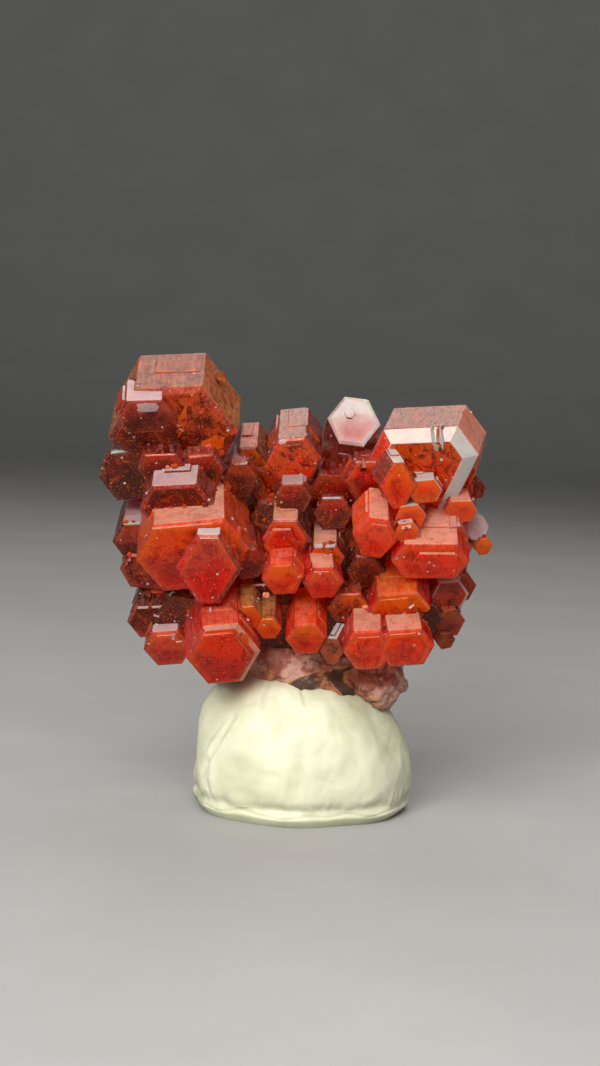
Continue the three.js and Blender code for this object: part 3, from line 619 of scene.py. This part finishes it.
def recess_crystals():
    """The place, turn and tints of each crystal in the hollows, column by column."""
    crystals = []
    for column in range(RECESS_COLUMNS):
        for row in range(RECESS_ROWS):
            index = len(crystals)
            x = RECESS_LEFT + column * RECESS_COLUMN_PITCH
            z = RECESS_BOTTOM + (row + (column % 2) / 2) * RECESS_ROW_PITCH
            forward = RECESS_LOW_LEAN * max(RECESS_LOW - z, 0)
            depth = RECESS_DEPTH - forward + RECESS_DEPTH_SPREAD * jitter(index, 1)
            spread = [width * jitter(index, 3 + i) for i, width in enumerate(RECESS_TURN_SPREAD)]
            turn = [angle + more for angle, more in zip(RECESS_TURN, spread)]
            # Dark tints as painted shade in the hollows, darkest for some of the crystals
            tints = "maroon black" if jitter(index, 7) < RECESS_DARKEST_SHADED else "ruby maroon"
            crystals.append(((x, depth, z), turn, tints))
    return crystals


def crystal_cluster():
    growth = Growth("crystals", CLUSTER_SEED)
    frames = {}
    for name, (at, size, turn, tints, *rim) in FRONT_CRYSTALS.items():
        frames[name] = crystal_frame(place_at_depth(at), turn)
        own_rim = rim[0] if rim else usual_rim(size)
        steps = LARGE_STEPS if size[0] > LARGE_WIDTH else USUAL_STEPS
        growth.add(frames[name], size, tints, own_rim, steps)
        if name in GROWTH_STEPS:
            growth.end_step(size, frames[name], *GROWTH_STEPS[name])
    # Slivers and plates, among them painted highlights and a painted glow
    for name, shift, size, spin, tint in SLIVERS_AND_HIGHLIGHTS:
        matrix = frames[name] @ Matrix.Translation(shift) @ Matrix.Rotation(math.radians(spin), 4, "Z")
        growth.plate(matrix, size, tint)
    for at, turn, tints in recess_crystals():
        growth.add(crystal_frame(place_at_depth(at), turn), RECESS_SIZE, tints, 0, 0)
    for at, size, turn, tints in BACK_CRYSTALS.values():
        growth.add(crystal_frame(at, turn), size, tints, usual_rim(size), USUAL_STEPS)
    return growth.joined(CLUSTER_TINIES)


def rock_crystals():
    growth = Growth("small_crystals", ROCK_SEED)
    for at, size, turn, tints in ROCK_CRYSTALS.values():
        growth.add(crystal_frame(at, turn), size, tints, usual_rim(size), ROCK_STEPS)
    return growth.joined()


class Graph:
    """A material's nodes, made with one short call each."""

    def __init__(self, name):
        self.material = bpy.data.materials.new(name)
        self.material.use_nodes = True
        self.tree = self.material.node_tree
        self.shader = self.tree.nodes["Principled BSDF"]
        self.output = self.tree.nodes["Material Output"]

    def node(self, kind, **inputs):
        made = self.tree.nodes.new(kind)
        for key, value in inputs.items():
            self.put(made.inputs[key.replace("_", " ")], value)
        return made

    def put(self, socket, value):
        if isinstance(value, bpy.types.NodeSocket):
            self.tree.links.new(value, socket)
        else:
            socket.default_value = value

    def settle(self, values):
        """Values that are the same all over the surface."""
        for name, value in values.items():
            self.shader.inputs[name].default_value = value

    def split(self, vector):
        made = self.tree.nodes.new("ShaderNodeSeparateXYZ")
        self.put(made.inputs[0], vector)
        return made.outputs

    def attribute(self, name):
        made = self.tree.nodes.new("ShaderNodeAttribute")
        made.attribute_name = name
        return made

    def math(self, operation, *values):
        made = self.tree.nodes.new("ShaderNodeMath")
        made.operation = operation
        for socket, value in zip(made.inputs, values):
            self.put(socket, value)
        return made.outputs[0]

    def blend(self, mode, factor, first, second):
        made = self.tree.nodes.new("ShaderNodeMix")
        made.data_type = "RGBA"
        made.blend_type = mode
        colours = [s for s in made.inputs if s.type == "RGBA"]
        self.put(made.inputs[0], factor)
        self.put(colours[0], first)
        self.put(colours[1], second)
        return [s for s in made.outputs if s.type == "RGBA"][0]

    def noise(self, vector, scale, detail=4.0, roughness=0.55, distortion=0.0):
        made = self.node("ShaderNodeTexNoise", Scale=scale, Detail=detail, Roughness=roughness)
        made.inputs["Distortion"].default_value = distortion
        self.put(made.inputs["Vector"], vector)
        return made.outputs[0]

    def ramp(self, value, *stops):
        """A smooth change from one number to another: the stops are from where, to where, and the two."""
        made = self.tree.nodes.new("ShaderNodeMapRange")
        made.interpolation_type = "SMOOTHSTEP"
        self.put(made.inputs["Value"], value)
        for key, number in zip(("From Min", "From Max", "To Min", "To Max"), stops):
            self.put(made.inputs[key], number)
        return made.outputs[0]

    def bump(self, height, strength, distance, normal=None):
        made = self.node("ShaderNodeBump", Strength=strength, Distance=distance, Height=height)
        if normal is not None:
            self.put(made.inputs["Normal"], normal)
        return made.outputs[0]


# Noise in the crystals: scale, detail, roughness and distortion
CLOUDS = (0.55, 5.0, 0.6, 0.5)
PATCHES = (1.1, 8.0, 0.72, 0.9)
WARM_CLOUDS = (0.8, 6.0, 0.7, 1.0)
FLECKS = (3.4, 6.0, 0.7, 0.8)
SPECKS = (7.0, 3.0, 0.6)
STREAKS = (1.0, 5.0, 0.65, 0.3)
STREAK_STRETCH = (3.0, 3.0, 0.7)
BORDER_WAVE = 2.6
# Colours over the crystals' own tints, as display values
DARK_CLOUD = (0.56, 0.32, 0.36)
# Painted shade on the lower middle of the end faces
PAINTED_LOW_SHADE = (0.84, 0.44, 0.44)
WARM_CLOUD = (0.90, 0.36, 0.06)
# Painted glow near the end faces' edges
PAINTED_EDGE_GLOW = (1.0, 0.50, 0.08)
PALE_HAZE = (0.95, 0.76, 0.70)
# Pale on worn edges: partly wear, partly painted highlight
EDGE_WEAR_AND_HIGHLIGHT = 0.08
ETCHED_ROUGHNESS = 0.08
# The body of a crystal, the colour that it lets through, and how fast it darkens with depth, per metre
CRYSTAL_SHADER = {
    "IOR": 1.6,
    "Specular IOR Level": 0.16,
    "Specular Tint": (1.0, 0.44, 0.32, 1),
    "Transmission Weight": 0.65,
    "Subsurface Weight": 1.0,
    "Subsurface Radius": (1.0, 0.22, 0.05),
    "Subsurface Scale": 1.0 * MM,
}
CLEAR_COLOUR = (0.97, 0.46, 0.07, 1)
CLEAR_DENSITY = 400.0


class CrystalGraph(Graph):
    """A crystal's nodes, with what they share: where a point is on its crystal, and on what kind of face."""

    def __init__(self, name):
        super().__init__(name)
        place = self.attribute("place").outputs["Vector"]
        span = self.attribute("span").outputs["Vector"]
        across, up, _ = self.split(place)
        half_width, half_height, _ = self.split(span)
        self.height = self.math("DIVIDE", up, half_height)
        self.inside = self.distance_inside(across, up, half_width, half_height)
        shifted = self.node("ShaderNodeVectorMath")
        self.put(shifted.inputs[0], place)
        self.put(shifted.inputs[1], span)
        self.shifted = shifted.outputs[0]
        kind = self.attribute("kind").outputs["Fac"]
        self.is_end = self.math("COMPARE", kind, END_KIND, KIND_SLACK)
        self.is_side = self.math("COMPARE", kind, SIDE_KIND, KIND_SLACK)
        self.is_edge = self.math("COMPARE", kind, EDGE_KIND, KIND_SLACK)
        self.veil = self.attribute("veil").outputs["Fac"]
        self.fleck = self.noise(self.shifted, *FLECKS)

    def distance_inside(self, across, up, half_width, half_height):
        """Distance in millimetres from the nearest side of the crystal's own prism."""
        across = self.math("ABSOLUTE", across)
        up = self.math("ABSOLUTE", up)
        flat = self.math("SUBTRACT", half_height, up)
        slope = self.math("ADD", self.math("MULTIPLY", across, COS_30), self.math("MULTIPLY", up, SIN_30))
        slant = self.math("SUBTRACT", self.math("MULTIPLY", half_width, COS_30), slope)
        return self.math("MINIMUM", flat, slant)

    def two_tints(self):
        """The end face's upper and lower tints, with a soft and wavy border between them."""
        cloud = self.noise(self.shifted, *CLOUDS)
        wave = self.math("MULTIPLY", self.math("SUBTRACT", cloud, 0.5), BORDER_WAVE)
        wavy = self.math("ADD", self.height, wave)
        lower = self.attribute("lower_tint").outputs["Color"]
        upper = self.attribute("upper_tint").outputs["Color"]
        return self.blend("MIX", self.ramp(wavy, -0.45, 0.55, 0.0, 1.0), lower, upper)

    def clouded(self, tint):
        """Dark clouds and orange ones, which show most in the dark tints, and painted shade on the lower
        middle of each end face.
        """
        dark = self.blend("MULTIPLY", 1.0, tint, paint(DARK_CLOUD))
        patches = self.ramp(self.noise(self.shifted, *PATCHES), 0.56, 0.40, 0.0, 1.0)
        body = self.blend("MIX", self.math("MULTIPLY", self.veil, patches), tint, dark)
        # Painted shade: the end face is darker low down, away from its edges
        deep = self.blend("MULTIPLY", 1.0, body, paint(PAINTED_LOW_SHADE))
        low = self.ramp(self.height, 0.5, -0.9, 0.0, 0.8)
        low = self.math("MULTIPLY", low, self.ramp(self.inside, 0.1, 1.0, 0.0, 1.0))
        body = self.blend("MIX", self.math("MULTIPLY", low, self.is_end), body, deep)
        warm = self.ramp(self.noise(self.shifted, *WARM_CLOUDS), 0.50, 0.66, 0.0, 0.75)
        cloudy = self.ramp(self.veil, 0.5, 1.0, 0.0, 1.0)
        return self.blend("MIX", self.math("MULTIPLY", cloudy, warm), body, paint(WARM_CLOUD))

    def painted_glowing(self, body, tint):
        """Painted glow: orange painted near the end face's edges, most along the upper ones, for light let
        through thin stone.
        """
        near = self.ramp(self.inside, 0.9, 0.1, 0.0, 1.0)
        near = self.math("MULTIPLY", near, self.ramp(self.fleck, 0.30, 0.60, 0.4, 1.0))
        near = self.math("MULTIPLY", near, self.ramp(self.height, -0.6, 0.8, 0.35, 1.0))
        near = self.math("MULTIPLY", near, self.is_end)
        near = self.math("MULTIPLY", near, self.attribute("painted_glow").outputs["Fac"])
        return self.blend("MIX", near, body, self.blend("MIX", 0.75, tint, paint(PAINTED_EDGE_GLOW)))

    def hazed(self, body, streaks):
        """Pale haze: in streaks on the sides, which are etched, on worn edges, where it is partly wear and
        partly a painted highlight, and in specks.
        """
        haze = self.math("MULTIPLY", self.is_side, self.ramp(streaks, 0.4, 0.7, 0.0, 0.25))
        haze = self.math("MAXIMUM", haze, self.math("MULTIPLY", self.is_edge, EDGE_WEAR_AND_HIGHLIGHT))
        speck = self.ramp(self.noise(self.shifted, *SPECKS), 0.62, 0.68, 0.0, 0.8)
        haze = self.math("MAXIMUM", haze, self.math("MULTIPLY", self.veil, speck))
        return self.blend("MIX", haze, body, paint(PALE_HAZE))

    def streaks(self):
        """Streaks that run along the crystal."""
        stretch = self.node("ShaderNodeMapping", Vector=self.shifted, Scale=STREAK_STRETCH)
        return self.noise(stretch.outputs[0], *STREAKS)


def crystal_material():
    """Clear to cloudy red crystal: it darkens with thickness, and its end faces are painted darker low down,
    as painted shade, and orange near their edges, as a painted glow where it is thin.
    """
    g = CrystalGraph("vanadinite")
    streaks = g.streaks()
    tint = g.two_tints()
    body = g.painted_glowing(g.clouded(tint), tint)
    g.put(g.shader.inputs["Base Color"], g.hazed(body, streaks))
    roughness = g.ramp(g.fleck, 0.4, 0.75, 0.06, 0.20)
    etched = g.math("MULTIPLY", g.is_side, ETCHED_ROUGHNESS)
    g.put(g.shader.inputs["Roughness"], g.math("ADD", roughness, etched))
    rough = g.bump(g.fleck, 0.12, 0.06 * MM)
    g.put(g.shader.inputs["Normal"], g.bump(streaks, 0.22, 0.15 * MM, rough))
    g.settle(CRYSTAL_SHADER)
    absorb = g.node("ShaderNodeVolumeAbsorption", Color=CLEAR_COLOUR, Density=CLEAR_DENSITY)
    g.tree.links.new(absorb.outputs[0], g.output.inputs["Volume"])
    return g.material


# Rock: the same lumps as the solid's, with a finer relief. Middle, radii, seed and fineness of each lump
ROCK_LUMPS = [
    ((-0.4, 3.2, 17.8), (9.2, 4.8, 8.2), 0.7, 6),
    ((0.3, 0.2, 11.5), (7.5, 4.9, 3.5), 2.3, 6),
    ((6.0, -1.6, 10.8), (2.3, 3.1, 2.3), 4.1, 5),
    ((-6.4, -3.2, 11.9), (2.0, 2.3, 1.5), 5.2, 5),
]
ROCK_RELIEF = 0.07
ROCK_WAVES = [
    (1.0, (4.1, 0.6, 3.7)),
    (0.6, (0.8, 7.3, 5.9)),
    (0.35, (12.1, 8.3, -9.7)),
]
GRAIN_SCALE = 0.9
GRAIN_LAYERS = (1.0, 2.1, 5)
GRAIN_DEPTH = 0.22
BLOCK_SCALE = 0.8
BLOCK_DEPTH = 0.10
ROCK_SINK = 0.12
# Noise in the rock, per metre: scale, detail, roughness and distortion
ROCK_PATCHES = (330.0, 7.0, 0.62, 0.8)
ROCK_SPECKS = (2600.0, 5.0, 0.7)
ROCK_SPOTS = (900.0, 6.0, 0.7, 0.5)
ROCK_BANDS = (190.0, 6.0, 0.62, 1.4)
BAND_SQUEEZE = (0.6, 0.8, 1.6)
BAND_TURN = (0.0, 0.5, 0.0)
# Colours of the rock, as display values, and the linear shade in its pits
ROCK_COLOURS = {
    "white": (0.69, 0.53, 0.46),
    "pink": (0.54, 0.28, 0.21),
    "russet": (0.46, 0.18, 0.11),
    "dark": (0.20, 0.10, 0.06),
    "ochre": (0.68, 0.47, 0.24),
}
PIT_SHADE = (0.45, 0.36, 0.32, 1)


def rock_relief(point, seed):
    """Low waves over a lump, which are the solid's too."""
    total = 0.0
    for index, (strength, turns) in enumerate(ROCK_WAVES):
        total += strength * math.sin(point.dot(Vector(turns)) + (index + 1) * seed)
    return total


def lump(name, middle, radii, seed, fineness):
    bm = bmesh.new()
    bmesh.ops.create_icosphere(bm, subdivisions=fineness, radius=1)
    for vert in bm.verts:
        point = vert.co.normalized()
        swell = 1 + ROCK_RELIEF * rock_relief(point, seed)
        spot = Vector([p * r * swell for p, r in zip(point, radii)]) + Vector(middle)
        grain = noise.fractal(spot * GRAIN_SCALE, *GRAIN_LAYERS) * GRAIN_DEPTH
        blocky = noise.cell(spot * BLOCK_SCALE) * BLOCK_DEPTH
        vert.co = spot + point * (grain + blocky - ROCK_SINK)
    return mesh_from(bm, name)


def rock():
    lumps = [lump(f"lump_{i}", *shape) for i, shape in enumerate(ROCK_LUMPS)]
    piece = as_piece("rock", united("rock", lumps))
    piece.data.shade_smooth()
    return piece


def rock_material():
    """Pale and pink rock with russet spots, and dark bands with ochre borders."""
    g = Graph("rock")
    coords = g.tree.nodes.new("ShaderNodeTexCoord").outputs["Object"]
    patch = g.noise(coords, *ROCK_PATCHES)
    grain = g.noise(coords, *ROCK_SPECKS)
    spots = g.noise(coords, *ROCK_SPOTS)
    squeezed = g.node("ShaderNodeMapping", Vector=coords, Scale=BAND_SQUEEZE, Rotation=BAND_TURN)
    band = g.noise(squeezed.outputs[0], *ROCK_BANDS)
    colours = {name: paint(colour) for name, colour in ROCK_COLOURS.items()}
    body = g.blend("MIX", g.ramp(patch, 0.44, 0.54, 0.0, 1.0), colours["pink"], colours["white"])
    body = g.blend("MIX", g.ramp(spots, 0.52, 0.60, 0.0, 0.85), body, colours["russet"])
    body = g.blend("MIX", g.ramp(band, 0.52, 0.56, 0.0, 0.8), body, colours["ochre"])
    body = g.blend("MIX", g.ramp(band, 0.55, 0.60, 0.0, 0.95), body, colours["dark"])
    body = g.blend("MULTIPLY", g.ramp(grain, 0.35, 0.65, 0.45, 0.0), body, PIT_SHADE)
    g.put(g.shader.inputs["Base Color"], body)
    g.put(g.shader.inputs["Roughness"], g.ramp(grain, 0.3, 0.7, 0.4, 0.85))
    coarse = g.bump(patch, 0.5, 0.25 * MM)
    g.put(g.shader.inputs["Normal"], g.bump(grain, 0.6, 0.08 * MM, coarse))
    return g.material


# Putty mound: the solid's profile with soft folds, a pressed rim and finger-smoothed streaks
MOUND_HEIGHT = 11.6
MOUND_HALF_WIDTH = 8.4
MOUND_HALF_DEPTH = 7.6
MOUND_LEAN = -0.9
MOUND_BULGES = [(3, 0.035, 1.2, 2), (7, 0.02, 0, 4)]
MOUND_PROFILE = [
    (0, 0), (0.97, 0), (1.04, 0.7), (1.0, 1.4), (1.06, 2.2), (1.05, 4.0), (1.0, 6.0), (0.92, 7.8),
    (0.8, 9.4), (0.65, 10.6), (0.4, 11.3), (0, MOUND_HEIGHT),
]
MOUND_AROUND = 300
MOUND_UP = 14
# Creases: start and end (angle around in degrees, height), width in degrees, depth
MOUND_CREASES = [
    ((229, 7.4), (217, 4.2), 1.8, 0.20),
    ((217, 4.2), (219, 2.2), 1.8, 0.20),
    ((250, 10.6), (249, 9.3), 1.5, 0.14),
    ((277, 10.9), (278, 9.6), 1.5, 0.14),
    ((283, 3.9), (291, 3.4), 1.2, 0.12),
    ((262, 7.5), (258, 2.6), 4.0, 0.05),
    ((300, 8.0), (306, 3.0), 5.0, 0.06),
    ((120, 9.0), (126, 4.0), 2.5, 0.16),
    ((40, 8.5), (33, 4.5), 3.0, 0.12),
]
CREASE_FULL = 0.4
CREASE_FADE = 0.35
CREASE_REACH = 0.8
# On the left the putty is sunk behind the curved edge of the thicker sheet in front
LOBE_START = 150
LOBE_EDGE = 217
LOBE_MIDDLE = 4.2
LOBE_BEND = 12
LOBE_RADIUS = 3.5
LOBE_DEPTH = 0.26
LOBE_HEIGHT = 3.2
LOBE_EDGE_WIDTH = 3
LOBE_START_WIDTH = 20
# The lower lip's ragged roll, the strip pressed out under it in places, and the crease between two
# layers: height, thickness and depth
LIP_ROLL = (1.6, 0.7, 0.16)
LIP_STRIP = (1.4, 0.5, 0.42)
LIP_CREASE = (0.85, 0.12, 0.16)
# Soft dents everywhere above the foot
DENT_SCALE = 0.35
DENT_LAYERS = (1.0, 2.0, 3)
DENT_DEPTH = 0.14
MOUND_SINK = 0.05
MOUND_FOOT = 1.5
FOOT_RINGS = 3
# Noise in the putty, per metre, and its colours as display values
PUTTY_STREAKS = (220.0, 5.0, 0.55, 1.2)
PUTTY_GRAIN = (1500.0, 4.0, 0.6)
PUTTY_PALE = (0.755, 0.755, 0.66)
PUTTY_GREEN = (0.70, 0.71, 0.595)
PUTTY_SHADER = {
    "Subsurface Weight": 0.35,
    "Subsurface Radius": (0.9, 0.9, 0.6),
    "Subsurface Scale": 1.2 * MM,
}


def between(before, here, after, beyond, t):
    """A point on the smooth curve through four points, at t from 0 to 1 from the second to the third."""
    slope = after - before
    bend = 2 * before - 5 * here + 4 * after - beyond
    twist = 3 * here - before - 3 * after + beyond
    return 0.5 * (2 * here + slope * t + bend * t * t + twist * t ** 3)


def mound_profile():
    """The profile as a close row of points, rounded through its own corners."""
    points = []
    last = len(MOUND_PROFILE) - 1
    for i in range(1, last):
        near = [min(max(k, 1), last) for k in range(i - 1, i + 3)]
        corners = [Vector(MOUND_PROFILE[k]) for k in near]
        points += [between(*corners, step / MOUND_UP) for step in range(MOUND_UP)]
    return points


def bell(distance, width):
    """A smooth rise to 1 at no distance, with this half width."""
    return math.exp(-(distance / width) ** 2)


def ragged(angle, width, seed):
    """A number from about -1 to 1 that changes around the mound, over this many degrees."""
    return noise.noise(Vector((angle / width, 0, seed)))


def crease_depth(angle, height):
    depth = 0.0
    for (start_angle, start_z), (end_angle, end_z), width, strength in MOUND_CREASES:
        along = (height - start_z) / (end_z - start_z)
        off_middle = abs(along - 0.5)
        if off_middle < CREASE_REACH:
            middle = start_angle + (end_angle - start_angle) * along
            fade = bell(max(off_middle - CREASE_FULL, 0), CREASE_FADE)
            depth += strength * fade * bell(angle - middle, width)
    return depth


def lobe_depth(angle, height):
    edge = LOBE_EDGE + LOBE_BEND * ((height - LOBE_MIDDLE) / LOBE_RADIUS) ** 2
    if not LOBE_START < angle < edge:
        return 0.0
    sunk = min((edge - angle) / LOBE_EDGE_WIDTH, 1) * min((angle - LOBE_START) / LOBE_START_WIDTH, 1)
    return LOBE_DEPTH * sunk * bell(height - LOBE_MIDDLE, LOBE_HEIGHT)


def lip_rise(angle, height):
    middle, thickness, rise = LIP_ROLL
    roll = ragged(angle, 9, 3) + 0.6 * ragged(angle, 3, 8)
    total = rise * roll * bell(height - middle, thickness)
    middle, thickness, rise = LIP_STRIP
    filled = min(max(0.5 + 1.6 * ragged(angle, 25, 5), 0), 1)
    total += rise * filled * bell(height - middle, thickness)
    middle, thickness, depth = LIP_CREASE
    layer = middle + 0.5 * ragged(angle, 18, 11)
    return total - depth * bell(height - layer, thickness)


def mound_rings(bm):
    rings = []
    for reach, height in mound_profile():
        ring = []
        lift = height / MOUND_HEIGHT
        for k in range(MOUND_AROUND):
            around = 2 * math.pi * k / MOUND_AROUND
            bulge = 1.0
            for count, strength, start, wind in MOUND_BULGES:
                bulge += strength * math.sin(count * around + start + wind * lift)
            x = math.cos(around) * reach * MOUND_HALF_WIDTH * bulge + MOUND_LEAN * lift * lift
            y = math.sin(around) * reach * MOUND_HALF_DEPTH * bulge
            ring.append(bm.verts.new((x, y, max(height, 0))))
        rings.append(ring)
    return rings


def mound():
    bm = bmesh.new()
    rings = mound_rings(bm)
    for low, high in zip(rings, rings[1:]):
        for k in range(MOUND_AROUND):
            bm.faces.new((low[k - 1], low[k], high[k], high[k - 1]))
    bm.faces.new(reversed(rings[0]))
    bm.faces.new(rings[-1])
    bm.normal_update()
    for ring in rings[FOOT_RINGS:]:
        for k, vert in enumerate(ring):
            angle = 360 * k / MOUND_AROUND
            height = vert.co.z
            rise = noise.fractal(vert.co * DENT_SCALE, *DENT_LAYERS) * DENT_DEPTH - MOUND_SINK
            rise += lip_rise(angle, height) - crease_depth(angle, height) - lobe_depth(angle, height)
            vert.co += vert.normal * rise * min(height / MOUND_FOOT, 1)
    piece = as_piece("putty", mesh_from(bm, "putty"))
    piece.data.shade_smooth()
    return piece


def putty_material():
    """Pale putty with faint green streaks, which light enters a little."""
    g = Graph("putty")
    coords = g.tree.nodes.new("ShaderNodeTexCoord").outputs["Object"]
    streak = g.noise(coords, *PUTTY_STREAKS)
    fine = g.noise(coords, *PUTTY_GRAIN)
    green = g.ramp(streak, 0.35, 0.65, 0.0, 1.0)
    g.put(g.shader.inputs["Base Color"], g.blend("MIX", green, paint(PUTTY_GREEN), paint(PUTTY_PALE)))
    g.put(g.shader.inputs["Roughness"], g.ramp(streak, 0.3, 0.7, 0.42, 0.6))
    soft = g.bump(streak, 0.35, 0.25 * MM)
    g.put(g.shader.inputs["Normal"], g.bump(fine, 0.2, 0.05 * MM, soft))
    g.settle(PUTTY_SHADER)
    return g.material


def finish_piece(piece, material, slot, *nodes):
    """Gives a piece its material and body, and hides the nodes that it stands for, if any. The slot is not
    used.
    """
    piece.data.materials.clear()
    piece.data.materials.append(material)
    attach(piece, "root")
    if nodes:
        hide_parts(*nodes)


# Studio, in metres: a pale floor that sweeps up far behind the specimen
FLOOR_FRONT = -1.35
FLOOR_SIDE = 1.8
SWEEP_START = 0.5
SWEEP_RADIUS = 0.4
SWEEP_STEPS = 24
BACKDROP_HEIGHT = 1.2
FLOOR_NOISE = (40.0, 3.0)
FLOOR_TONES = ((0.28, 0.28, 0.275, 1), (0.30, 0.30, 0.295, 1))
FLOOR_ROUGHNESS = 0.6


def floor():
    bm = bmesh.new()
    line = [(FLOOR_FRONT, 0.0), (SWEEP_START, 0.0)]
    for step in range(1, SWEEP_STEPS + 1):
        angle = math.radians(90) * step / SWEEP_STEPS
        line.append((SWEEP_START + SWEEP_RADIUS * math.sin(angle), SWEEP_RADIUS * (1 - math.cos(angle))))
    line.append((SWEEP_START + SWEEP_RADIUS, BACKDROP_HEIGHT))
    left, right = ([bm.verts.new((x, y, z)) for y, z in line] for x in (-FLOOR_SIDE, FLOOR_SIDE))
    for i in range(len(line) - 1):
        bm.faces.new((left[i], right[i], right[i + 1], left[i + 1]))
    mesh = mesh_from(bm, "floor")
    mesh.shade_smooth()
    mesh.materials.append(floor_material())
    sheet = bpy.data.objects.new("floor", mesh)
    bpy.context.scene.collection.objects.link(sheet)


def floor_material():
    g = Graph("floor")
    coords = g.tree.nodes.new("ShaderNodeTexCoord").outputs["Object"]
    faint = g.ramp(g.noise(coords, *FLOOR_NOISE), 0.3, 0.7, 0.0, 1.0)
    g.put(g.shader.inputs["Base Color"], g.blend("MIX", faint, *FLOOR_TONES))
    g.settle({"Roughness": FLOOR_ROUGHNESS})
    return g.material


# Area lights: place, point aimed at, width, depth, power in watts, colour
LIGHTS = {
    "top_back": ((0.02, 0.16, 0.26), (0, 0, 0.02), 0.30, 0.20, 0.42, (1.0, 0.95, 0.91)),
    "top_front": ((-0.03, -0.20, 0.20), (0, 0, 0.02), 0.20, 0.16, 0.75, (1.0, 0.98, 0.96)),
    "front_low": ((-0.09, -0.28, 0.14), (0, 0, 0.022), 0.14, 0.10, 0.90, (1.0, 0.97, 0.94)),
    "backdrop": ((0, 0.45, 0.45), (0, 0.85, 0.28), 1.2, 0.06, 0.5, (0.96, 1.0, 0.99)),
    "spark_left": ((-0.12, -0.22, 0.22), (0, 0, 0.02), 0.03, 0.03, 0.12, (1.0, 0.98, 0.96)),
    "spark_right": ((0.10, -0.12, 0.28), (0, 0, 0.02), 0.03, 0.03, 0.10, (1.0, 0.98, 0.96)),
    "side_left": ((-0.25, -0.08, 0.12), (0, 0, 0.02), 0.10, 0.16, 0.08, (1.0, 0.97, 0.94)),
    "side_right": ((0.25, -0.02, 0.16), (0, 0, 0.02), 0.10, 0.16, 0.10, (1.0, 0.97, 0.94)),
}
WORLD_GREY = 0.05


def lights():
    for name, (place, aim, width, depth, power, colour) in LIGHTS.items():
        lamp = bpy.data.lights.new(name, "AREA")
        lamp.shape = "RECTANGLE"
        lamp.size = width
        lamp.size_y = depth
        lamp.energy = power
        lamp.color = colour
        obj = bpy.data.objects.new(name, lamp)
        obj.location = place
        obj.rotation_euler = (Vector(aim) - Vector(place)).to_track_quat("-Z", "Y").to_euler()
        bpy.context.scene.collection.objects.link(obj)
    world = bpy.data.worlds.new("studio")
    world.use_nodes = True
    background = world.node_tree.nodes["Background"]
    background.inputs["Color"].default_value = (WORLD_GREY, WORLD_GREY, WORLD_GREY, 1)
    bpy.context.scene.world = world


def camera():
    data = bpy.data.cameras.new("camera")
    data.lens = CAMERA_LENS
    data.sensor_width = CAMERA_SENSOR
    data.clip_start = CAMERA_NEAREST * MM
    obj = bpy.data.objects.new("camera", data)
    pitch = Matrix.Rotation(math.radians(90 + CAMERA_PITCH), 4, "X")
    roll = Matrix.Rotation(math.radians(CAMERA_ROLL), 4, "Z")
    obj.matrix_world = Matrix.Translation(EYE * MM) @ pitch @ roll
    bpy.context.scene.collection.objects.link(obj)
    bpy.context.scene.camera = obj


vanadinite = crystal_material()
finish_piece(crystal_cluster(), vanadinite, "vanadinite", "vanadinite_crystals")
finish_piece(rock_crystals(), vanadinite, "vanadinite")
finish_piece(rock(), rock_material(), "rock", "matrix_rock")
finish_piece(mound(), putty_material(), "putty", "mounting_putty")
floor()
lights()
camera()
bpy.context.scene.view_settings.view_transform = "Standard"
